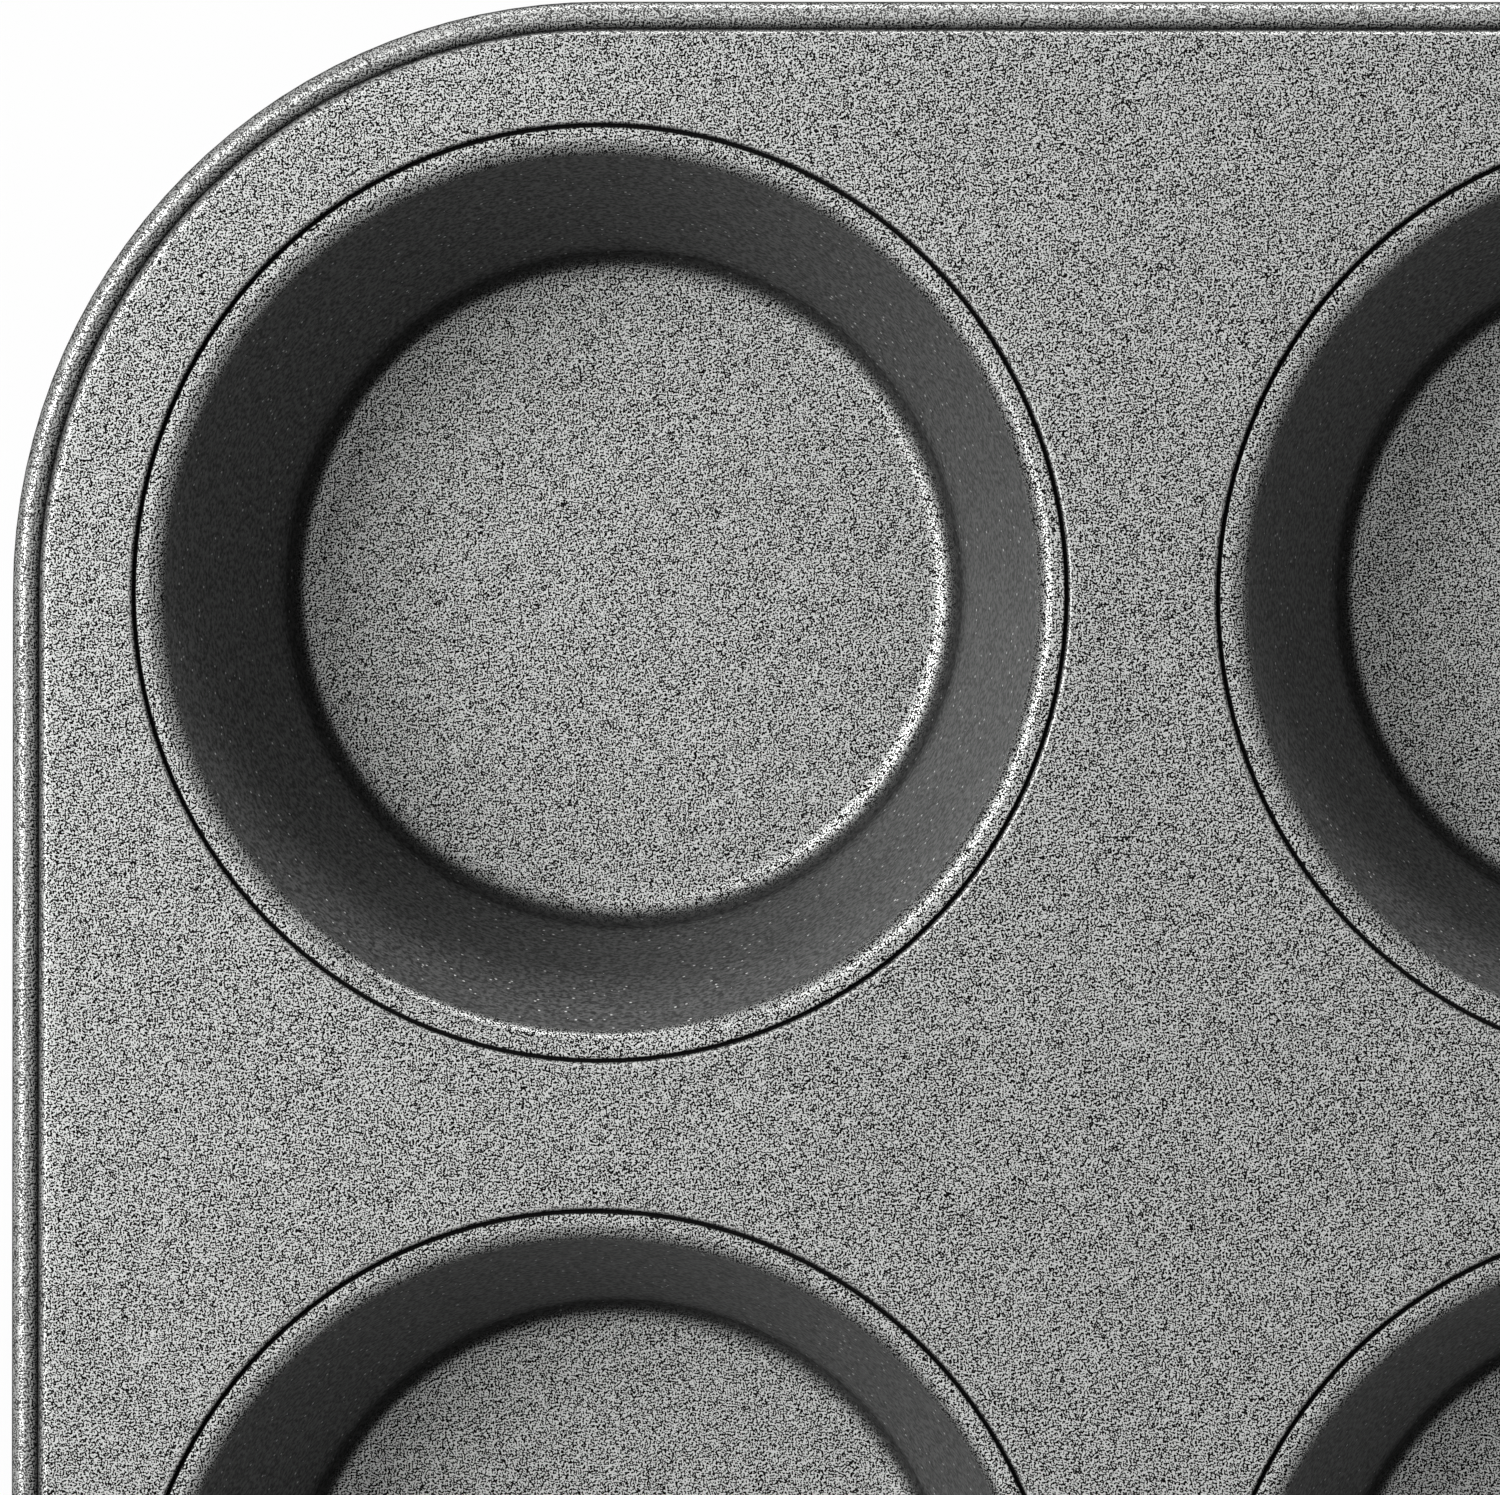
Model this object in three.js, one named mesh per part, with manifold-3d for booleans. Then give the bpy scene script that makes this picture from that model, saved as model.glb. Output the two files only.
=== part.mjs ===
// A twelve-cup muffin tin of thin coated steel. Twelve drawn cups hang by their lips in the stepped holes of
// one pressed deck sheet, and the edge of the deck is rolled over a loop of wire.
//
// Millimetres, +Z up. The origin is under the middle of the tin, on the plane that the cup floors stand on.
// Columns of cups run along X, rows along Y. Row 1 is the back row (+Y), column 1 the left one (-X).

import * as THREE from "three";
import { mergeVertices } from "three/addons/utils/BufferGeometryUtils.js";
import Module from "manifold-3d";

const wasm = await Module();
wasm.setup();

// ---------------------------------------------------------------- driving dimensions

const cupColumns = 4;
const cupRows = 3;
const cupPitch = 86.5; // from one cup's centre to the next, both ways
const tinHeight = 30; // from the plane it stands on to the top of the deck
const edgeMargin = 47.1; // from the centre of an outer cup to the outside of the rolled edge

const deckSheet = 0.45; // thickness of the deck
const cupSheet = 0.45; // thickness of a cup

const lipRadius = 37.1; // outside of a cup's lip
const lipFlat = 0.8; // width of the flat outer part of the lip
const lipBend = 1.45; // radius of the turn from the lip into the wall, on the upper side
const lipRecess = 0.15; // how far the lip lies below the top of the deck
const floorRadius = 25.4; // the flat part of a cup's floor
const floorFillet = 2.4; // inside radius between floor and wall

const seamClearance = 0.3; // all round, between a lip and the step in the deck
const seatSetback = 0.15; // how far the seat stops short of the turn under the lip

const beadRadius = 1.15; // outside of the rolled edge
const beadOverlap = 0.1; // how far the roll reaches in past the web that carries it
const rimBend = 0.85; // outside radius where the deck turns down to the web
const rimWeb = 0.03; // straight height of the web between that turn and the groove
const curlEndDegrees = -150; // where the roll ends, under its inner side; 0 points outwards
const wireClearance = 0.28; // between the wire and the inside of the roll

const roundSegments = 24; // sides of a full circle, the same for a cup and for its hole
const joinOverlap = 0.6; // how far two stretches of the deck run into each other where they are joined

// ---------------------------------------------------------------- sizes that follow from them
// Heights are measured from the top of the deck, so they are negative downwards.

const lipTop = -lipRecess;
const seatTop = lipTop - cupSheet; // the lip lies on the seat, face to face
const lipTurnRadius = lipRadius - lipFlat; // where the lip starts to turn down
const stepRadius = lipRadius + seamClearance;
const seatRadius = lipTurnRadius + seatSetback;

const beadCentre = edgeMargin - beadRadius;
const webReach = beadCentre - beadRadius + beadOverlap; // outer face of the web
const grooveAngle = Math.PI - Math.acos((beadCentre - webReach) / beadRadius);
const grooveBottom = -(rimBend + rimWeb);
const beadHeight = grooveBottom - beadRadius * Math.sin(grooveAngle);
const wireRadius = beadRadius - deckSheet - wireClearance;
const deckFlatReach = webReach - rimBend;

const cornerSegments = roundSegments / 4;
const cornerX = ((cupColumns - 1) * cupPitch) / 2; // centres of the corner cups
const cornerY = ((cupRows - 1) * cupPitch) / 2;

// ---------------------------------------------------------------- shared helpers

// Points of an arc from one angle to another, in radians, both ends included.
function arc(x, y, radius, from, to, steps) {
  const points = [];
  for (let i = 0; i <= steps; i += 1) {
    const angle = from + ((to - from) * i) / steps;
    points.push(new THREE.Vector2(x + radius * Math.cos(angle), y + radius * Math.sin(angle)));
  }
  return points;
}

// The same profile without points that repeat the one before them.
function withoutRepeats(points) {
  const nearest = 1e-6;
  return points.filter((point, i) => i === 0 || point.distanceTo(points[i - 1]) > nearest);
}

// Stations round the tin, anticlockwise: the corner cup each belongs to, and the way outwards from it.
function rimStations() {
  const corners = [
    [cornerX, cornerY],
    [-cornerX, cornerY],
    [-cornerX, -cornerY],
    [cornerX, -cornerY],
  ];
  return corners.flatMap(([x, y], quarter) => {
    const start = (quarter * Math.PI) / 2;
    return arc(0, 0, 1, start, start + Math.PI / 2, cornerSegments).map((out) => ({ x, y, out }));
  });
}

// The outline of the tin at a given distance out from the centres of the outer cups.
function tinOutline(reach) {
  return rimStations().map(({ x, y, out }) => new THREE.Vector2(x + reach * out.x, y + reach * out.y));
}

// A closed ring that carries a profile of (reach, height) points, drawn anticlockwise, round the tin.
function sweepRoundTin(profile) {
  const stations = rimStations();
  const positions = stations.flatMap(({ x, y, out }) =>
    profile.flatMap((point) => [x + point.x * out.x, y + point.x * out.y, point.y]),
  );
  const indices = [];
  stations.forEach((_, station) => {
    const here = station * profile.length;
    const next = ((station + 1) % stations.length) * profile.length;
    profile.forEach((__, i) => {
      const j = (i + 1) % profile.length;
      indices.push(here + i, next + i, next + j, here + i, next + j, here + j);
    });
  });
  const geometry = new THREE.BufferGeometry();
  geometry.setAttribute("position", new THREE.Float32BufferAttribute(positions, 3));
  geometry.setIndex(indices);
  return geometry;
}

// A profile of (radius, height) points turned about the Z axis.
function turn(profile) {
  const geometry = new THREE.LatheGeometry(profile, roundSegments);
  geometry.rotateX(Math.PI / 2);
  return geometry;
}

function toSolid(geometry) {
  const bare = geometry.clone();
  bare.deleteAttribute("normal");
  bare.deleteAttribute("uv");
  const merged = mergeVertices(bare);
  const mesh = new wasm.Mesh({
    numProp: 3,
    vertProperties: new Float32Array(merged.attributes.position.array),
    triVerts: new Uint32Array(merged.index.array),
  });
  return new wasm.Manifold(mesh);
}

function toGeometry(solid) {
  const { vertProperties, triVerts } = solid.getMesh();
  const geometry = new THREE.BufferGeometry();
  geometry.setAttribute("position", new THREE.BufferAttribute(vertProperties, 3));
  geometry.setIndex(new THREE.BufferAttribute(triVerts, 1));
  geometry.computeVertexNormals();
  return geometry;
}

// ---------------------------------------------------------------- where the cups are

// Name and centre of each cup, row by row from the back left.
function cupPlaces() {
  const places = [];
  for (let row = 0; row < cupRows; row += 1) {
    for (let column = 0; column < cupColumns; column += 1) {
      places.push({
        name: `cup_r${row + 1}c${column + 1}`,
        x: column * cupPitch - cornerX,
        y: cornerY - row * cupPitch,
      });
    }
  }
  return places;
}

// ---------------------------------------------------------------- cup

// Half section of a cup, from the middle of its floor up to the lip and back down the outside.
// The wall is the straight line that touches both the floor fillet and the turn of the lip.
function cupProfile() {
  const floorTop = cupSheet - tinHeight;
  const fillet = new THREE.Vector2(floorRadius, floorTop + floorFillet);
  const lip = new THREE.Vector2(lipTurnRadius, lipTop - lipBend);
  const between = lip.clone().sub(fillet);
  const wallSlope = Math.acos((floorFillet + lipBend) / between.length()) - between.angle();

  const filletSteps = 2;
  const lipSteps = 3;
  const straightDown = -Math.PI / 2;
  const straightUp = Math.PI / 2;
  const inside = [
    new THREE.Vector2(0, floorTop),
    ...arc(fillet.x, fillet.y, floorFillet, straightDown, -wallSlope, filletSteps),
    ...arc(lip.x, lip.y, lipBend, Math.PI - wallSlope, straightUp, lipSteps),
    new THREE.Vector2(lipRadius, lipTop),
  ];
  const outside = [
    new THREE.Vector2(0, -tinHeight),
    ...arc(fillet.x, fillet.y, floorFillet + cupSheet, straightDown, -wallSlope, filletSteps),
    ...arc(lip.x, lip.y, lipBend - cupSheet, Math.PI - wallSlope, straightUp, lipSteps),
    new THREE.Vector2(lipRadius, seatTop),
  ];
  return [...outside, ...inside.reverse()];
}

// ---------------------------------------------------------------- deck

// The flat of the deck, up to the turn-down of its edge, with a hole at each step.
function deckPanel() {
  const holeRadius = stepRadius + deckSheet;
  const shape = new THREE.Shape(tinOutline(deckFlatReach));
  for (const { x, y } of cupPlaces()) {
    const hole = arc(x, y, holeRadius, 0, -2 * Math.PI, roundSegments).slice(0, -1);
    shape.holes.push(new THREE.Path(hole));
  }
  const panel = new THREE.ExtrudeGeometry(shape, { depth: deckSheet, bevelEnabled: false });
  return panel.translate(0, 0, -deckSheet);
}

// The ring round one hole: the sheet steps down to a narrow seat for the lip.
function seatRing() {
  const outer = stepRadius + deckSheet + joinOverlap;
  return turn([
    new THREE.Vector2(outer, -deckSheet),
    new THREE.Vector2(outer, 0),
    new THREE.Vector2(stepRadius, 0),
    new THREE.Vector2(stepRadius, seatTop),
    new THREE.Vector2(seatRadius, seatTop),
    new THREE.Vector2(seatRadius, seatTop - deckSheet),
    new THREE.Vector2(stepRadius + deckSheet, seatTop - deckSheet),
    new THREE.Vector2(stepRadius + deckSheet, -deckSheet),
    new THREE.Vector2(outer, -deckSheet),
  ]);
}

// Section of the deck's edge: down over the turn, round the foot of the groove, and out into the roll.
function rimProfile() {
  const start = deckFlatReach - joinOverlap;
  const curlEnd = THREE.MathUtils.degToRad(curlEndDegrees);
  const bendSteps = 3;
  const foldSteps = 3;
  const curlSteps = 8;
  const upper = [
    new THREE.Vector2(start, 0),
    ...arc(deckFlatReach, -rimBend, rimBend, Math.PI / 2, 0, bendSteps),
    ...arc(beadCentre, beadHeight, beadRadius, grooveAngle, curlEnd, curlSteps),
  ];
  const under = [
    new THREE.Vector2(start, -deckSheet),
    ...arc(deckFlatReach, -rimBend, rimBend - deckSheet, Math.PI / 2, 0, bendSteps),
    ...arc(webReach, grooveBottom, deckSheet, Math.PI, Math.PI + grooveAngle, foldSteps),
    ...arc(beadCentre, beadHeight, beadRadius - deckSheet, grooveAngle, curlEnd, curlSteps),
  ];
  return withoutRepeats([...under, ...upper.reverse()]);
}

function makeDeck() {
  const pieces = [toSolid(deckPanel()), toSolid(sweepRoundTin(rimProfile()))];
  for (const { x, y } of cupPlaces()) {
    pieces.push(toSolid(seatRing().translate(x, y, 0)));
  }
  return toGeometry(pieces.reduce((deck, piece) => deck.add(piece)));
}

// ---------------------------------------------------------------- rim wire

// A closed loop of round wire in the middle of the roll.
function makeWire() {
  const wireSides = 8;
  const section = arc(beadCentre, beadHeight, wireRadius, 0, 2 * Math.PI, wireSides).slice(0, -1);
  return sweepRoundTin(section);
}

// ---------------------------------------------------------------- assembly

const coatedSteel = new THREE.MeshStandardMaterial({ color: 0x6c6d6e, roughness: 0.5, metalness: 0.6 });
const coatedCup = new THREE.MeshStandardMaterial({ color: 0x5a5b5c, roughness: 0.45, metalness: 0.6 });
const bareWire = new THREE.MeshStandardMaterial({ color: 0x9a9c9e, roughness: 0.35, metalness: 1 });

function place(name, geometry, material, x = 0, y = 0) {
  const mesh = new THREE.Mesh(geometry, material);
  mesh.name = name;
  mesh.position.set(x, y, tinHeight);
  return mesh;
}

const group = new THREE.Group();
group.add(place("deck", makeDeck(), coatedSteel));
group.add(place("rim_wire", makeWire(), bareWire));
for (const { name, x, y } of cupPlaces()) {
  group.add(place(name, turn(cupProfile()), coatedCup, x, y));
}

export default group;
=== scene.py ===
"""Twelve-cup muffin tin with a coated, finely pebbled finish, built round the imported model.

The deck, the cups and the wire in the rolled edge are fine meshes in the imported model's own places and
sizes. Metres, +Z up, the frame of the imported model.
"""

import math
from collections import namedtuple

import bpy
from bpy.props import FloatProperty, FloatVectorProperty, IntProperty, PointerProperty
from mathutils import Matrix, Vector


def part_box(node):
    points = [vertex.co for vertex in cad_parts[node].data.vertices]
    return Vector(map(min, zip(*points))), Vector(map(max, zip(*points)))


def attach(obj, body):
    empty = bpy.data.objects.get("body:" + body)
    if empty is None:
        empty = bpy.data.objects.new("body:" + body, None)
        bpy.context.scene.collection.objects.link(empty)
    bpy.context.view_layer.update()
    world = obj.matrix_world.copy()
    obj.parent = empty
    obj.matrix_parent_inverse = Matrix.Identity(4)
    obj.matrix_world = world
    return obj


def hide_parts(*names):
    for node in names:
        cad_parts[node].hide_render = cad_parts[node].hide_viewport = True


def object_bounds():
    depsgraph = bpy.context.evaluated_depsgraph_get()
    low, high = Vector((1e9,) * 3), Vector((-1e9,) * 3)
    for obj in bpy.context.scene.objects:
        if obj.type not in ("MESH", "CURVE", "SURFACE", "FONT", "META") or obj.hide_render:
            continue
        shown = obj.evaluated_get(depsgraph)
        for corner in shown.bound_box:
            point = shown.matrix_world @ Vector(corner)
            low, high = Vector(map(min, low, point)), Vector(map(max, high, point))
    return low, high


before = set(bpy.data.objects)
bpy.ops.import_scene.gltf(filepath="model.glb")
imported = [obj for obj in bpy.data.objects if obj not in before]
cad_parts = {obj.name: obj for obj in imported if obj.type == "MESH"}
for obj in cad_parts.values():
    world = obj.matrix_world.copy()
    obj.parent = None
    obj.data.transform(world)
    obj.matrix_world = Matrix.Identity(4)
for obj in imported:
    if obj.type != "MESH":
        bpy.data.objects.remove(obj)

bl_info = {
    "name": "Muffin Tin",
    "version": (1, 0, 0),
    "blender": (4, 5, 0),
    "location": "View3D > Sidebar > Muffin Tin",
    "description": "Builds a coated muffin tin with separate cups, a stepped deck and a wired rim",
    "category": "Object",
}

BODY = "root"
CAD_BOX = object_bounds()
DECK_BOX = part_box("deck")
CUP_NAMES = sorted(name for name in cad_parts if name.startswith("cup_"))

QUARTER = math.pi / 2


# ---------------------------------------------------------------- settings


def length(name, description, default):
    """A length setting, in metres."""
    return FloatProperty(name=name, description=description, default=default, unit="LENGTH", precision=5)


def colour(name, description, default):
    """A linear colour setting."""
    return FloatVectorProperty(
        name=name, description=description, default=default, subtype="COLOR", size=3, min=0, max=1
    )


def fraction(name, description, default):
    """A setting from 0 to 1."""
    return FloatProperty(name=name, description=description, default=default, min=0, max=1, subtype="FACTOR")


def power(name, description, default):
    """A lamp's power, in watts."""
    return FloatProperty(name=name, description=description, default=default, min=0, unit="POWER")


class TinSizes(bpy.types.PropertyGroup):
    """Sizes of the sheet-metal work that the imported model's boxes don't give."""

    sheet: length("Sheet", "Thickness of the deck and of the cups", 0.00045)
    lip_flat: length("Lip flat", "Width of the flat outer part of a cup's lip", 0.0008)
    lip_bend: length("Lip bend", "Radius of the turn from the lip into the wall", 0.00145)
    floor_radius: length("Floor radius", "Radius of the flat part of a cup's floor", 0.0254)
    floor_fillet: length("Floor fillet", "Inside radius between a cup's floor and wall", 0.0024)
    seam: length("Seam", "Gap between a lip and the step in the deck", 0.0003)
    seat_setback: length("Seat setback", "How far the seat stops short of the lip's turn", 0.00015)
    step_round: length("Step rounding", "Radius on the top edge of the step", 0.0003)
    cut_round: length("Cut rounding", "Radius left by the coating on a cut edge", 0.0001)
    bead_radius: length("Bead radius", "Outside radius of the rolled edge", 0.00115)
    bead_overlap: length("Bead overlap", "How far the roll reaches in past its web", 0.0001)
    rim_bend: length("Rim bend", "Outside radius where the deck turns down at its edge", 0.00085)
    rim_web: length("Rim web", "Straight height between that turn and the groove", 0.00003)
    wire_clearance: length("Wire clearance", "Gap between the wire and the roll", 0.00028)
    curl_end: FloatProperty(
        name="Curl end",
        description="Where the roll ends, measured from straight outwards",
        default=math.radians(-150),
        subtype="ANGLE",
    )
    sides: IntProperty(name="Sides", description="Sides of each round, a multiple of 8", default=120, min=24)


class CoatingLook(bpy.types.PropertyGroup):
    """Colours and grain of the coating."""

    # Grain dark and grain light are the shaded and lit sides of each pebble: painted shade and painted highlight
    # over the real grain.
    dark: colour("Grain dark", "Colour of the pits of the grain", (0.002, 0.002, 0.002))
    light: colour("Grain light", "Colour of the peaks of the grain", (0.74, 0.75, 0.735))
    wall: colour("Wall", "Colour of the smooth coating on the cup walls", (0.24, 0.242, 0.24))
    fleck: colour("Fleck", "Colour of the sparse bright flecks", (0.85, 0.86, 0.85))
    # Lighter colour for wear on the cups' undersides and the rim, and for a painted highlight along the top edge
    # of each step in the deck.
    lit_and_rubbed: colour("Rubbed", "Colour where the coating is rubbed", (0.5, 0.495, 0.485))
    # Painted shade: near-black put in the seams round the lips, the rim's groove, the floor fillets and on the
    # bead's outer side.
    crease: colour("Crease", "Colour of the coating pooled in seams and grooves", (0.004, 0.004, 0.004))
    grain: length("Grain size", "Spacing of the pebbled grain", 0.00013)
    grain_spread: FloatProperty(
        name="Grain spread", description="Slope at which the grain's tone is full", default=0.07, min=0.01
    )
    fleck_gap: length("Fleck spacing", "Spacing of the bright flecks", 0.0009)
    relief: length("Grain relief", "Height of the pebbled grain", 0.000014)
    roughness: fraction("Roughness", "Roughness of the coating", 0.44)
    metal: fraction("Metal", "How metallic the flat coating looks", 0.8)
    shine: fraction("Shine", "Plain reflection of the coating", 0.12)
    wall_metal: fraction("Wall metal", "How metallic the walls look", 0.68)
    deck_tone: fraction("Deck tone", "Brightness of the deck's coating", 0.46)
    # Painted light: the cups' coating is a little lighter than the deck's, to lift the cup floors out of the cups'
    # shade.
    cup_tone: fraction("Cup tone", "Brightness of the cups' coating", 0.48)


class StageLook(bpy.types.PropertyGroup):
    """Camera, lamps and floor."""

    lens: FloatProperty(name="Lens", description="Focal length in millimetres", default=234.6, min=10)
    camera_height: length("Camera height", "Height of the camera above the deck", 0.776)
    roll: FloatProperty(
        name="Roll", description="Turn of the picture", default=math.radians(0.19), subtype="ANGLE"
    )
    floor_colour: colour("Floor", "Colour of the floor", (0.82, 0.82, 0.82))
    background: FloatProperty(name="Background", description="Brightness behind the tin", default=0.88, min=0)
    glow: FloatProperty(name="Floor white", description="Brightness of the white in the floor", default=1.0, min=0)
    lift: fraction("Lift", "Share of plain white in the floor as seen", 0.85)
    ambient: FloatProperty(name="Ambient", description="Brightness of the room", default=0.05, min=0)
    key: power("Key lamp", "Power of the key lamp", 52.0)
    top: power("Top lamp", "Power of the lamp overhead", 3.0)
    edge: power("Edge lamp", "Power of the low lamp", 34.0)


# ---------------------------------------------------------------- where things are

Cup = namedtuple("Cup", "name x y")
# The fourth field carries wear and painted highlight, the fifth painted shade in seams, grooves, the floor fillets
# and the bead's outer side.
Point = namedtuple("Point", "out height grain worn crease", defaults=(1, 0, 0))


class Layout:
    """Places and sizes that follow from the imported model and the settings."""

    def __init__(self, sizes):
        low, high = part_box(CUP_NAMES[0])
        self.sizes = sizes
        self.top = DECK_BOX[1].z
        self.lip_radius = (high.x - low.x) / 2
        self.lip_top = high.z
        self.cups = [self.cup(name) for name in CUP_NAMES]
        self.corner_x = max(cup.x for cup in self.cups)
        self.corner_y = max(cup.y for cup in self.cups)
        self.pitch = self.cups[1].x - self.cups[0].x

        self.seat = self.lip_top - sizes.sheet
        self.lip_turn = self.lip_radius - sizes.lip_flat
        self.step_radius = self.lip_radius + sizes.seam
        self.seat_radius = self.lip_turn + sizes.seat_setback

        self.bead_out = DECK_BOX[1].x - self.corner_x - sizes.bead_radius
        self.web = self.bead_out - sizes.bead_radius + sizes.bead_overlap
        self.groove_angle = math.pi - math.acos((self.bead_out - self.web) / sizes.bead_radius)
        self.groove = self.top - sizes.rim_bend - sizes.rim_web
        self.bead_height = self.groove - sizes.bead_radius * math.sin(self.groove_angle)
        self.flat_reach = self.web - sizes.rim_bend
        self.wire_radius = sizes.bead_radius - sizes.sheet - sizes.wire_clearance

    @staticmethod
    def cup(name):
        low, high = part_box(name)
        return Cup(name, (low.x + high.x) / 2, (low.y + high.y) / 2)


def arc(x, y, radius, start, end, steps, grain=(1, 1), worn=(0, 0), crease=(0, 0)):
    """Section points on an arc; grain, wear with painted highlight, and painted shade run evenly from its start to
    its end.
    """
    points = []
    for i in range(steps + 1):
        share = i / steps
        angle = start + (end - start) * share
        points.append(
            Point(
                x + radius * math.cos(angle),
                y + radius * math.sin(angle),
                grain[0] + (grain[1] - grain[0]) * share,
                worn[0] + (worn[1] - worn[0]) * share,
                crease[0] + (crease[1] - crease[0]) * share,
            )
        )
    return points


def between(first, last, shares):
    """Section points at the given shares of the straight way from one point to another."""
    return [Point(*(a + (b - a) * share for a, b in zip(first, last))) for share in shares]


# ---------------------------------------------------------------- meshes


class MeshMaker:
    """Collects points and faces, joining points that lie in the same place."""

    SAME = 1e-7

    def __init__(self):
        self.points = []
        self.faces = []
        self.known = {}

    def point(self, place, section_point):
        """Number of the point at a place, a new one if there is none, painted as the section is."""
        key = tuple(round(value / self.SAME) for value in place)
        if key not in self.known:
            self.known[key] = len(self.points)
            self.points.append((tuple(round(value, 9) for value in place), section_point))
        return self.known[key]

    def face(self, *corners):
        """A face through numbered points, leaving out corners that are one point."""
        distinct = list(dict.fromkeys(corners))
        if len(distinct) > 2:
            self.faces.append(distinct)

    def strip(self, first, second):
        """Faces between two chains of equal length."""
        for i in range(len(first) - 1):
            self.face(first[i], first[i + 1], second[i + 1], second[i])

    def piece(self, name, material):
        """The finished object, smooth shaded, with its grain, its wear with painted highlight, and its painted
        shade stored on its points.
        """
        mesh = bpy.data.meshes.new(name)
        mesh.from_pydata([place for place, _ in self.points], [], self.faces)
        for label in ("grain", "worn", "crease"):
            attribute = mesh.attributes.new(label, "FLOAT", "POINT")
            attribute.data.foreach_set("value", [getattr(point, label) for _, point in self.points])
        mesh.shade_smooth()
        mesh.materials.append(material)
        made = bpy.data.objects.new(name, mesh)
        bpy.context.scene.collection.objects.link(made)
        return made


def turned(maker, section, x, y, sides):
    """A section of (radius, height) points turned about the upright line through x, y."""
    chains = []
    for i in range(sides + 1):
        angle = 2 * math.pi * (i % sides) / sides
        along = (math.cos(angle), math.sin(angle))
        chains.append(
            [
                maker.point((x + p.out * along[0], y + p.out * along[1], p.height), p)
                for p in section
            ]
        )
    for first, second in zip(chains, chains[1:]):
        maker.strip(first, second)


# ---------------------------------------------------------------- cup


def cup_section(lay):
    """Half section of a cup: out along the floor, up the inside, over the lip and back down the outside."""
    sizes = lay.sizes
    sheet = sizes.sheet
    fillet = Vector((sizes.floor_radius, sheet + sizes.floor_fillet))
    lip = Vector((lay.lip_turn, lay.lip_top - sizes.lip_bend))
    across = lip - fillet
    slope = math.acos((sizes.floor_fillet + sizes.lip_bend) / across.length) - math.atan2(across.y, across.x)

    smooth = 0.0
    wall_rows = (0.02, 0.05, 0.12, 0.25, 0.4, 0.55, 0.7, 0.85, 0.95, 0.985)
    clear_row = 2
    floor_rows = (0.12, 0.3, 0.5, 0.7, 0.85, 0.95, 0.985)

    # Painted shade: a dark ring on the steeper part of the floor fillet, fading out over the first wall rows.
    fillet_shade = 0.7
    turn = slope - QUARTER
    middle = -QUARTER - 0.6 * turn
    start = -QUARTER - 0.36 * turn
    fillet_foot = arc(*fillet, sizes.floor_fillet, -QUARTER, start, 6, grain=(1, 0.8))
    fillet_foot += arc(*fillet, sizes.floor_fillet, start, middle, 4, grain=(0.8, 0.4), crease=(0, fillet_shade))[1:]
    fillet_head = arc(*fillet, sizes.floor_fillet, middle, -slope, 5, grain=(0.4, 0), crease=(fillet_shade, fillet_shade))
    inner_fillet = fillet_foot + fillet_head[1:]
    inner_lip = arc(*lip, sizes.lip_bend, math.pi - slope, QUARTER, 14, grain=(0.6, 1))
    wall_foot = inner_fillet[-1]._replace(grain=smooth)
    wall_head = inner_lip[0]._replace(grain=smooth)
    wall = between(wall_foot, wall_head, wall_rows)
    floor_middle = Point(0, sheet)
    cut = sizes.cut_round
    # Painted shade on the lip's cut edge, in the seam.
    cut_top = arc(lay.lip_radius - cut, lay.lip_top - cut, cut, QUARTER, 0, 4, crease=(0, 1))
    cut_under = arc(lay.lip_radius - cut, lay.seat + cut, cut, 0, -QUARTER, 4, crease=(1, 1))
    inside = [
        floor_middle,
        *between(floor_middle, inner_fillet[0], floor_rows),
        *inner_fillet,
        *(point._replace(crease=max(0, fillet_shade * (1 - i / clear_row))) for i, point in enumerate(wall)),
        *inner_lip,
        *between(inner_lip[-1], cut_top[0], (0.1, 0.9)),
        *cut_top,
    ]

    outer_lip = arc(*lip, sizes.lip_bend - sheet, QUARTER, math.pi - slope, 8, grain=(1, 0.3))
    outer_fillet = arc(*fillet, sizes.floor_fillet + sheet, -slope, -QUARTER, 12, grain=(0.3, 1), worn=(0, 1))
    foot = Point(0, 0, worn=0.6)
    outside = [
        *cut_under,
        *outer_lip,
        *between(outer_lip[-1], outer_fillet[0], wall_rows),
        *outer_fillet,
        *reversed(between(foot, outer_fillet[-1]._replace(worn=0.8), floor_rows)),
        foot,
    ]
    return inside + outside


# ---------------------------------------------------------------- deck


def square_edge(angle):
    """Where a ray at an angle leaves a square that reaches 1 to each side, as x, y."""
    x = math.cos(angle)
    y = math.sin(angle)
    reach = max(abs(x), abs(y))
    return x / reach, y / reach


class DeckCell:
    """The stretch of deck round one cup, out to half way to its neighbours or to the turn-down of the edge."""

    TOLERANCE = 1e-5

    def __init__(self, lay, cup):
        self.cup = cup
        self.reach = lay.flat_reach
        self.half = lay.pitch / 2
        self.right = self.is_last(cup.x, lay.corner_x)
        self.left = self.is_last(-cup.x, lay.corner_x)
        self.back = self.is_last(cup.y, lay.corner_y)
        self.front = self.is_last(-cup.y, lay.corner_y)

    def is_last(self, place, corner):
        return abs(place - corner) < self.TOLERANCE

    def edge(self, angle):
        """Offset from the cup to the cell's edge at an angle, and the way out of the tin there, or None."""
        x, y = square_edge(angle)
        outer_x = self.right if x > 0 else self.left
        outer_y = self.back if y > 0 else self.front
        if outer_x and outer_y:
            way = (math.cos(angle), math.sin(angle))
            return (self.reach * way[0], self.reach * way[1]), way
        place = (x * (self.reach if outer_x else self.half), y * (self.reach if outer_y else self.half))
        near = 1 - 1e-9
        if outer_x and abs(x) > near:
            return place, (math.copysign(1, x), 0)
        if outer_y and abs(y) > near:
            return place, (0, math.copysign(1, y))
        return place, None


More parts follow.
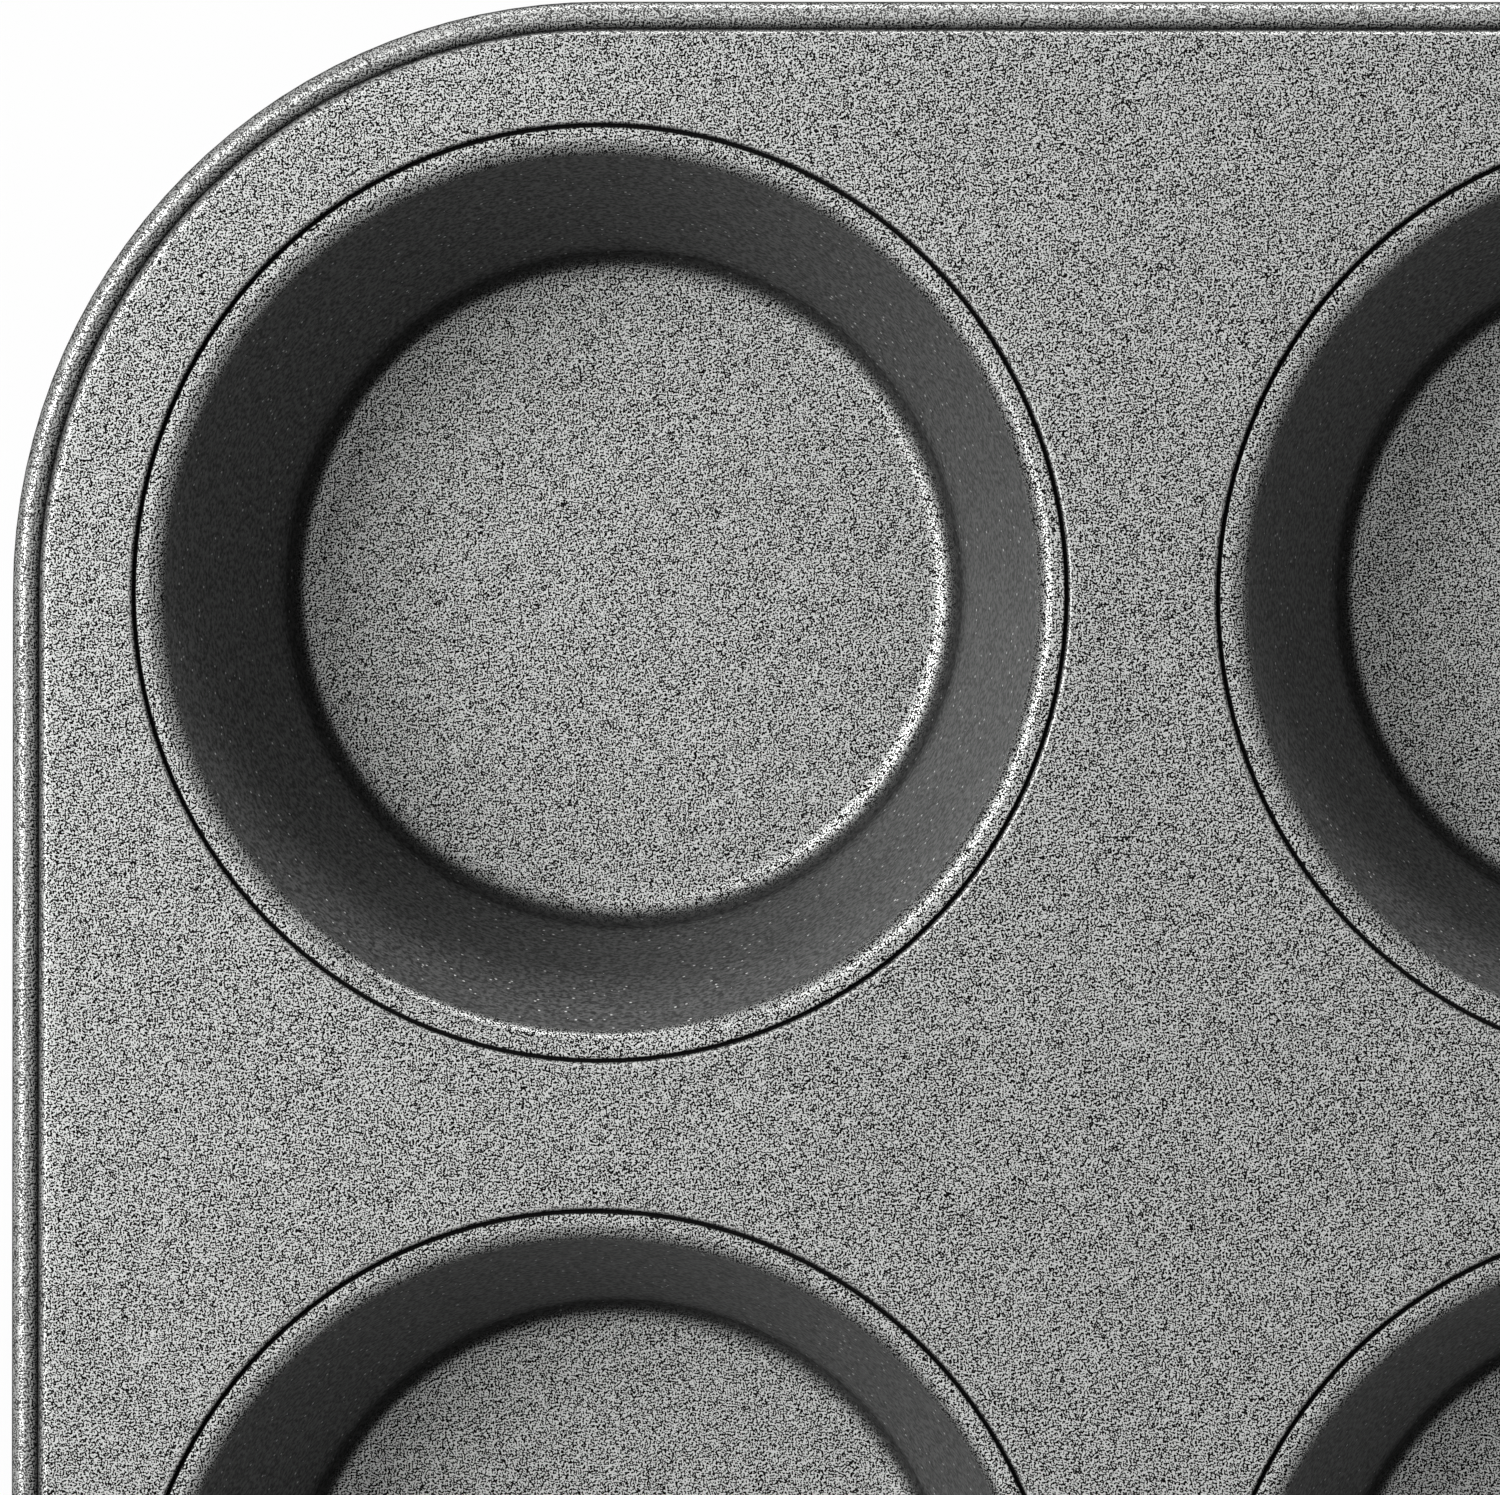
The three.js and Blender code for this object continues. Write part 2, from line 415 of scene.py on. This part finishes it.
def hole_sections(lay):
    """Upper and lower section of the step round a hole, both from the hole's edge outwards."""
    sizes = lay.sizes
    sheet = sizes.sheet
    cut = sizes.cut_round
    step = sizes.step_round
    # dark: painted shade down the step and on the seat's edge, in the seam round the lip.
    dark = (1, 1)
    middle = Point(lay.seat_radius, lay.seat - sheet / 2)
    rounding = (lay.step_radius + step, lay.top - step, step)
    shoulder = 2.2
    # The side of the rounding carries painted shade; its top carries a painted highlight in the wear colour,
    # lighter all round.
    rounding_side = arc(*rounding, math.pi, shoulder, 4, crease=(1, 0))
    rounding_top = arc(*rounding, shoulder, QUARTER, 3, grain=(0.4, 1), worn=(1, 0.2))
    upper = [
        middle,
        *arc(lay.seat_radius + cut, lay.seat - cut, cut, math.pi, QUARTER, 3, crease=dark),
        *arc(lay.step_radius - cut, lay.seat + cut, cut, -QUARTER, 0, 3, crease=dark),
        *rounding_side,
        *rounding_top[1:],
        Point(lay.step_radius + 2 * step, lay.top),
    ]
    outer = lay.step_radius + sheet
    under = lay.top - sheet
    lower = [
        middle,
        *arc(lay.seat_radius + cut, lay.seat - sheet + cut, cut, -math.pi, -QUARTER, 3),
        *arc(outer - step, lay.seat - sheet + step, step, -QUARTER, 0, 4),
        *arc(outer + cut, under - cut, cut, math.pi, QUARTER, 3),
        Point(outer + 3 * cut, under),
    ]
    return upper, lower


def rim_sections(lay):
    """Upper and lower section of the edge, from the flat of the deck to the end of the roll."""
    sizes = lay.sizes
    sheet = sizes.sheet
    bend = (lay.flat_reach, lay.top - sizes.rim_bend)
    bead = (lay.bead_out, lay.bead_height)
    roll = (*bead, sizes.bead_radius)
    curl = (lay.groove_angle, sizes.curl_end)
    shade_end = lay.groove_angle - math.radians(38)
    turn_down = math.radians(28)
    flank = math.radians(38)
    side = math.radians(14)
    upper = [
        *arc(*bend, sizes.rim_bend, QUARTER, turn_down, 7, worn=(0, 0.3)),
        # Painted shade in the groove between the deck's bend and the bead.
        *arc(*bend, sizes.rim_bend, turn_down, 0, 3, crease=(0, 1))[1:],
        *arc(*roll, lay.groove_angle, shade_end, 6, crease=(1, 0)),
        *arc(*roll, shade_end, flank, 12, worn=(0.2, 0.3))[1:],
        # Painted shade on the bead's outer side, which also takes the darker wall look instead of the grain.
        *arc(*roll, flank, side, 6, grain=(1, 0), crease=(0, 1))[1:],
        *arc(*roll, side, sizes.curl_end, 18, grain=(0, 1), worn=(0, 0.4), crease=(1, 0))[1:],
    ]
    lower = [
        *arc(*bend, sizes.rim_bend - sheet, QUARTER, 0, 4),
        *arc(lay.web, lay.groove, sheet, math.pi, math.pi + lay.groove_angle, 8),
        *arc(*bead, sizes.bead_radius - sheet, *curl, 22),
    ]
    return upper, lower


def build_deck(lay, material):
    """The whole deck as one closed mesh: a cell round each cup, and the rolled edge round the outside."""
    maker = MeshMaker()
    hole_upper, hole_lower = hole_sections(lay)
    rim_upper, rim_lower = rim_sections(lay)
    rim_loop = rim_upper + rim_lower[::-1]
    upper_shares = (0.04, 0.2, 0.45, 0.7, 0.93, 1.0)
    lower_shares = (0.05, 0.5, 1.0)
    steps = lay.sizes.sides

    def cell_chain(cell, angle, section, shares):
        """Points from the hole's edge to the cell's edge at one angle."""
        place, _ = cell.edge(angle)
        way = (math.cos(angle), math.sin(angle))
        offsets = [(p.out * way[0], p.out * way[1], p) for p in section]
        last = offsets[-1]
        for share in shares:
            x = last[0] + (place[0] - last[0]) * share
            y = last[1] + (place[1] - last[1]) * share
            offsets.append((x, y, last[2]))
        return [
            maker.point((cell.cup.x + x, cell.cup.y + y, p.height), p) for x, y, p in offsets
        ]

    def rim_chain(cell, angle, way):
        """Points of the edge's whole section at one angle of an outer cell."""
        place, _ = cell.edge(angle)
        chain = []
        for p in rim_loop:
            past = p.out - lay.flat_reach
            x = cell.cup.x + place[0] + way[0] * past
            y = cell.cup.y + place[1] + way[1] * past
            chain.append(maker.point((x, y, p.height), p))
        return chain

    for cup in lay.cups:
        cell = DeckCell(lay, cup)
        angles = [2 * math.pi * i / steps for i in range(steps)]
        for angle, after in zip(angles, angles[1:] + angles[:1]):
            upper = [cell_chain(cell, a, hole_upper, upper_shares) for a in (angle, after)]
            lower = [cell_chain(cell, a, hole_lower, lower_shares) for a in (angle, after)]
            maker.strip(upper[0], upper[1])
            maker.strip(lower[1], lower[0])
            middle = (angle + math.pi / steps) % (2 * math.pi)
            way = cell.edge(middle)[1]
            if way:
                ways = [cell.edge(a)[1] or way for a in (angle, after)]
                straight = 0 in way
                ways = [way, way] if straight else ways
                rims = [rim_chain(cell, a, w) for a, w in zip((angle, after), ways)]
                maker.strip(rims[0], rims[1])
    return maker.piece("pressed_deck", material)


# ---------------------------------------------------------------- rim wire


def build_wire(lay, material):
    """One closed loop of round wire in the middle of the roll."""
    maker = MeshMaker()
    round_sides = 20
    corner_steps = 32
    section = arc(lay.bead_out, lay.bead_height, lay.wire_radius, 0, 2 * math.pi, round_sides)
    chains = []
    corners = [(1, 1), (-1, 1), (-1, -1), (1, -1)]
    for quarter, (side_x, side_y) in enumerate(corners):
        for i in range(corner_steps + 1):
            angle = QUARTER * (quarter + i / corner_steps)
            way = (math.cos(angle), math.sin(angle))
            chain = [
                maker.point(
                    (
                        side_x * lay.corner_x + way[0] * p.out,
                        side_y * lay.corner_y + way[1] * p.out,
                        p.height,
                    ),
                    p,
                )
                for p in section
            ]
            chains.append(chain)
    for first, second in zip(chains, chains[1:] + chains[:1]):
        maker.strip(second, first)
    return maker.piece("rim_wire_loop", material)


# ---------------------------------------------------------------- shader maths


class Link:
    """One output socket of a material. Arithmetic on it adds Math nodes."""

    def __init__(self, shader, socket):
        self.shader = shader
        self.socket = socket

    def math(self, operation, *values):
        inputs = {name: value for name, value in zip(("Value", "Value_001"), values)}
        return self.shader.node("ShaderNodeMath", {"operation": operation}, inputs)

    def __add__(self, other):
        return self.math("ADD", self, other)

    def __sub__(self, other):
        return self.math("SUBTRACT", self, other)

    def __rsub__(self, other):
        return self.math("SUBTRACT", other, self)

    def __mul__(self, other):
        return self.math("MULTIPLY", self, other)

    def __lt__(self, other):
        return self.math("LESS_THAN", self, other)

    __radd__ = __add__
    __rmul__ = __mul__


class Shader:
    """A material's or world's node tree, emptied and built up node by node."""

    def __init__(self, owner):
        owner.use_nodes = True
        self.tree = owner.node_tree
        self.tree.nodes.clear()

    def node(self, kind, settings=None, inputs=None, output=0):
        """A node's output, after its settings are set and its sockets given values or links."""
        made = self.tree.nodes.new(kind)
        for name, value in (settings or {}).items():
            setattr(made, name, value)
        for name, value in (inputs or {}).items():
            socket = self.find(made.inputs, name)
            if isinstance(value, Link):
                self.tree.links.new(value.socket, socket)
            else:
                socket.default_value = value
        return Link(self, self.find(made.outputs, output)) if made.outputs else None

    @staticmethod
    def find(sockets, name):
        """A socket by its number, its identifier or its name."""
        if isinstance(name, int):
            return sockets[name]
        for socket in sockets:
            if socket.identifier == name:
                return socket
        return sockets[name]

    def noise(self, place, size, detail=2.0, roughness=0.5):
        """Cloudy values round 0.5 whose patches are about the given size."""
        inputs = {"Vector": place, "Scale": 1 / size, "Detail": detail, "Roughness": roughness}
        return self.node("ShaderNodeTexNoise", {}, inputs)

    def ramp(self, value, low, high, to_low=0.0, to_high=1.0):
        """Value taken smoothly from low..high to to_low..to_high."""
        inputs = {"Value": value, "From Min": low, "From Max": high, "To Min": to_low, "To Max": to_high}
        return self.node("ShaderNodeMapRange", {"interpolation_type": "SMOOTHSTEP"}, inputs)

    def mix(self, share, first, second, blend="MIX"):
        """Two colours mixed."""
        inputs = {"Factor_Float": share, "A_Color": first, "B_Color": second}
        settings = {"data_type": "RGBA", "blend_type": blend}
        return self.node("ShaderNodeMix", settings, inputs, "Result_Color")

    def painted(self, label):
        """A value stored on the mesh's points."""
        return self.node("ShaderNodeAttribute", {"attribute_name": label}, {}, "Fac")


def rgba(value, factor=1.0):
    """A colour setting as four numbers."""
    return (value[0] * factor, value[1] * factor, value[2] * factor, 1.0)


def turned_place(shader, shift):
    """Object coordinates, shifted and then turned so that no flat face lies along the noise's own grid."""
    straight = shader.node("ShaderNodeTexCoord", {}, {}, "Object")
    sum_of = {"Vector": straight, "Vector_001": shift}
    moved = shader.node("ShaderNodeVectorMath", {"operation": "ADD"}, sum_of)
    turn = {"Vector": moved, "Rotation": (0.6, 0.35, 0.2)}
    return shader.node("ShaderNodeVectorRotate", {"rotation_type": "EULER_XYZ"}, turn)


def flecks(shader, look, place):
    """1 on small sparse specks, 0 elsewhere."""
    speck = 0.12
    kept = 0.5
    cells = {"Vector": place, "Scale": 1 / look.fleck_gap, "Randomness": 1.0}
    near = shader.node("ShaderNodeTexVoronoi", {"feature": "F1"}, cells, "Distance")
    pick = shader.node("ShaderNodeTexVoronoi", {"feature": "F1"}, cells, "Color")
    chosen = shader.node("ShaderNodeSeparateColor", {}, {"Color": pick}, "Red") < kept
    return (near < speck) * chosen


def coating(look, name, tone):
    """The nonstick coating: pebbled where the sheet is flat, smooth and darker on the drawn walls."""
    material = bpy.data.materials.new(name)
    shader = Shader(material)
    place = turned_place(shader, (0, 0, 0))
    # The grain's tone is the noise here minus the noise at a point shifted towards the back left: an emboss that
    # paints light and shade on each pebble, lit from the back left, over the real pebbled pattern.
    beside = turned_place(shader, (-look.grain, look.grain, look.grain / 2))
    pebbled = shader.painted("grain")
    worn = shader.painted("worn")

    fine = shader.noise(place, look.grain, 0.0)
    slope = fine - shader.noise(beside, look.grain, 0.0)
    pebble_grain_and_shading = shader.ramp(slope, -look.grain_spread, look.grain_spread)
    cloud = shader.noise(place, 0.045, 3.0, 0.6)
    patch = shader.noise(place, 0.006, 2.0, 0.5)
    coarse = shader.noise(place, 0.0004, 2.0, 0.6)

    grain_and_shading_colour = shader.mix(pebble_grain_and_shading, rgba(look.dark, tone), rgba(look.light, tone))
    wall_shade = shader.ramp(coarse, 0.32, 0.68, 0.35, 1.65)
    wall_colour = shader.mix(1.0, rgba(look.wall, tone), wall_shade, "MULTIPLY")
    flat = shader.ramp(pebbled, 0.0, 0.7)
    base = shader.mix(flat, wall_colour, grain_and_shading_colour)
    clouds = 0.9 + 0.14 * cloud + 0.06 * patch
    base = shader.mix(1.0, base, clouds, "MULTIPLY")

    spot = flecks(shader, look, place) * (1 - flat)
    base = shader.mix(spot, base, rgba(look.fleck))

    # Lighter patches: wear, and a painted highlight along the steps' top edges.
    patchy_rub_and_highlight = shader.ramp(shader.noise(place, 0.0012, 4.0, 0.65), 0.52, 0.7)
    rub_and_highlight = worn * (0.25 + 0.5 * patchy_rub_and_highlight)
    base = shader.mix(rub_and_highlight, base, rgba(look.lit_and_rubbed))
    # Painted shade: near-black in seams, grooves, the floor fillets and on the bead's outer side, also rougher and
    # less metallic there.
    crease = shader.painted("crease")
    base = shader.mix(crease, base, rgba(look.crease))

    height = fine * pebbled + coarse * (1 - pebbled) * 1.5
    bump = shader.node(
        "ShaderNodeBump", {}, {"Strength": 1.0, "Distance": look.relief, "Height": height}, "Normal"
    )
    rough = look.roughness - 0.05 + 0.1 * patch + 0.06 * (1 - pebble_grain_and_shading) * pebbled
    rough = rough - 0.1 * rub_and_highlight + 0.55 * crease + 0.08 * (1 - flat)
    metal = (look.wall_metal + (look.metal - look.wall_metal) * flat) * (1 - crease) * (1 - spot)
    surface = shader.node(
        "ShaderNodeBsdfPrincipled",
        {},
        {
            "Base Color": base,
            "Roughness": rough,
            "Metallic": metal,
            "IOR": 1.45,
            "Specular IOR Level": look.shine,
            "Normal": bump,
        },
    )
    shader.node("ShaderNodeOutputMaterial", {}, {"Surface": surface})
    return material


def drawn_wire(name):
    """Plain steel wire with fine drawing marks and a little dulling."""
    material = bpy.data.materials.new(name)
    shader = Shader(material)
    place = shader.node("ShaderNodeTexCoord", {}, {}, "Object")
    marks = shader.noise(place, 0.00025, 3.0, 0.7)
    dull = shader.noise(place, 0.004, 3.0, 0.6)
    base = shader.mix(shader.ramp(dull, 0.4, 0.7), (0.5, 0.49, 0.47, 1), (0.3, 0.29, 0.27, 1))
    bump = shader.node("ShaderNodeBump", {}, {"Strength": 0.6, "Distance": 0.00001, "Height": marks}, "Normal")
    surface = shader.node(
        "ShaderNodeBsdfPrincipled",
        {},
        {"Base Color": base, "Roughness": 0.28 + 0.25 * dull, "Metallic": 1.0, "Normal": bump},
    )
    shader.node("ShaderNodeOutputMaterial", {}, {"Surface": surface})
    return material


# ---------------------------------------------------------------- stage


def seen_directly(shader):
    """1 for camera, glossy and transmission rays, which see the background itself; 0 for others."""
    kinds = ("Is Camera Ray", "Is Glossy Ray", "Is Transmission Ray")
    camera, glossy, through = (shader.node("ShaderNodeLightPath", {}, {}, kind) for kind in kinds)
    total = camera + glossy + through
    return total.math("MINIMUM", total, 1.0)


def build_floor(look):
    """A wide pale floor under the tin, lifted towards white where it is seen, with the tin's shadow on it."""
    radius = 30.0
    drop = 0.0001
    sides = 96
    bpy.ops.mesh.primitive_circle_add(
        vertices=sides, radius=radius, fill_type="NGON", location=(0, 0, CAD_BOX[0].z - drop)
    )
    floor = bpy.context.object
    floor.name = "studio_floor"
    material = bpy.data.materials.new("studio_floor")
    shader = Shader(material)
    matt = shader.node("ShaderNodeBsdfDiffuse", {}, {"Color": rgba(look.floor_colour)})
    glow = shader.node("ShaderNodeEmission", {}, {"Color": (1, 1, 1, 1), "Strength": look.glow})
    lift = seen_directly(shader) * look.lift
    surface = shader.node("ShaderNodeMixShader", {}, {"Fac": lift, 1: matt, 2: glow})
    shader.node("ShaderNodeOutputMaterial", {}, {"Surface": surface})
    floor.data.materials.append(material)


def build_world(look):
    """Plain light from all round, and a pale background where it is seen."""
    world = bpy.data.worlds.new("studio_room")
    bpy.context.scene.world = world
    shader = Shader(world)
    room = shader.node("ShaderNodeBackground", {}, {"Color": (1, 1, 1, 1), "Strength": look.ambient})
    pale = shader.node("ShaderNodeBackground", {}, {"Color": (1, 1, 1, 1), "Strength": look.background})
    surface = shader.node("ShaderNodeMixShader", {}, {"Fac": seen_directly(shader), 1: room, 2: pale})
    shader.node("ShaderNodeOutputWorld", {}, {"Surface": surface})


def add_lamp(name, power, width, height, azimuth, elevation, distance, target):
    """A soft rectangular lamp, placed by its direction from the target and turned to face it."""
    data = bpy.data.lights.new(name, "AREA")
    data.shape = "RECTANGLE"
    data.size = width
    data.size_y = height
    data.energy = power
    lamp = bpy.data.objects.new(name, data)
    way = Vector(
        (
            math.cos(elevation) * math.cos(azimuth),
            math.cos(elevation) * math.sin(azimuth),
            math.sin(elevation),
        )
    )
    lamp.location = target + way * distance
    lamp.rotation_mode = "QUATERNION"
    lamp.rotation_quaternion = way.to_track_quat("Z", "Y")
    lamp.visible_camera = False
    bpy.context.scene.collection.objects.link(lamp)


def build_lamps(look, lay):
    """A soft key from the back left, a lamp overhead, and a low one behind the back edge."""
    target = Vector((0, 0, lay.top))
    add_lamp("key_lamp", look.key, 1.2, 1.0, math.radians(161), math.radians(53), 2.2, target)
    add_lamp("top_lamp", look.top, 1.6, 1.6, math.radians(120), math.radians(89), 2.4, target)
    add_lamp("edge_lamp", look.edge, 1.6, 0.35, math.radians(88), math.radians(9), 2.2, target)


def above(cup, lay, shares, height):
    """A place above the deck, at shares of the cup spacing from the middle of a cup."""
    return Vector((cup.x + shares[0] * lay.pitch, cup.y + shares[1] * lay.pitch, lay.top + height))


def build_camera(look, lay):
    """The camera, high over the tin's back left corner and looking almost straight down."""
    corner = next(cup for cup in lay.cups if cup.name == "cup_r1c1")
    over = above(corner, lay, (0.679, 0.111), look.camera_height)
    aim = above(corner, lay, (0.140, -0.141), 0)
    back = (over - aim).normalized()
    right = Vector((0, 1, 0)).cross(back).normalized()
    up = back.cross(right)
    turn = Matrix((right, up, back)).transposed().to_4x4()
    data = bpy.data.cameras.new("camera")
    data.lens = look.lens
    data.sensor_width = 36
    data.clip_start = 0.01
    data.clip_end = 100
    camera = bpy.data.objects.new("camera", data)
    camera.matrix_world = Matrix.Translation(over) @ turn @ Matrix.Rotation(look.roll, 4, "Z")
    bpy.context.scene.collection.objects.link(camera)
    bpy.context.scene.camera = camera
    bpy.context.scene.view_settings.view_transform = "Standard"


# ---------------------------------------------------------------- operators


def belongs(piece, node):
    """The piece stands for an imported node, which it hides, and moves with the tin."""
    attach(piece, BODY)
    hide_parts(node)


class TIN_OT_stage(bpy.types.Operator):
    """Add the floor, the room, the lamps and the camera"""

    bl_idname = "tin.stage"
    bl_label = "Stage"

    def execute(self, context):
        lay = Layout(context.scene.tin_sizes)
        look = context.scene.tin_stage
        build_floor(look)
        build_world(look)
        build_lamps(look, lay)
        build_camera(look, lay)
        return {"FINISHED"}


class TIN_OT_deck(bpy.types.Operator):
    """Build the deck with its stepped holes and rolled edge"""

    bl_idname = "tin.deck"
    bl_label = "Deck"

    def execute(self, context):
        lay = Layout(context.scene.tin_sizes)
        look = context.scene.tin_coating
        material = coating(look, "deck_coating", look.deck_tone)
        belongs(build_deck(lay, material), "deck")
        return {"FINISHED"}


class TIN_OT_cups(bpy.types.Operator):
    """Build the cups that hang by their lips in the deck"""

    bl_idname = "tin.cups"
    bl_label = "Cups"

    def execute(self, context):
        lay = Layout(context.scene.tin_sizes)
        look = context.scene.tin_coating
        material = coating(look, "cup_coating", look.cup_tone)
        section = cup_section(lay)
        for cup in lay.cups:
            maker = MeshMaker()
            turned(maker, section, cup.x, cup.y, lay.sizes.sides)
            belongs(maker.piece("drawn_" + cup.name, material), cup.name)
        return {"FINISHED"}


class TIN_OT_wire(bpy.types.Operator):
    """Build the wire inside the rolled edge"""

    bl_idname = "tin.wire"
    bl_label = "Rim wire"

    def execute(self, context):
        lay = Layout(context.scene.tin_sizes)
        belongs(build_wire(lay, drawn_wire("wire")), "rim_wire")
        return {"FINISHED"}


OPERATORS = (TIN_OT_stage, TIN_OT_deck, TIN_OT_cups, TIN_OT_wire)
SETTINGS = {"tin_sizes": TinSizes, "tin_coating": CoatingLook, "tin_stage": StageLook}


class TIN_PT_sidebar(bpy.types.Panel):
    """Lists the steps that build the tin, and its settings"""

    bl_label = "Muffin Tin"
    bl_space_type = "VIEW_3D"
    bl_region_type = "UI"
    bl_category = "Muffin Tin"

    def draw(self, context):
        for operator in OPERATORS:
            self.layout.operator(operator.bl_idname)
        for name, group in SETTINGS.items():
            box = self.layout.box()
            for setting in group.__annotations__:
                box.prop(getattr(context.scene, name), setting)


CLASSES = (*SETTINGS.values(), *OPERATORS, TIN_PT_sidebar)


def register():
    for each in CLASSES:
        bpy.utils.register_class(each)
    for name, group in SETTINGS.items():
        setattr(bpy.types.Scene, name, PointerProperty(type=group))


def unregister():
    for name in SETTINGS:
        delattr(bpy.types.Scene, name)
    for each in reversed(CLASSES):
        bpy.utils.unregister_class(each)


def main():
    """Builds everything in order."""
    register()
    bpy.ops.tin.stage()
    bpy.ops.tin.deck()
    bpy.ops.tin.cups()
    bpy.ops.tin.wire()


if __name__ == "__main__":
    main()
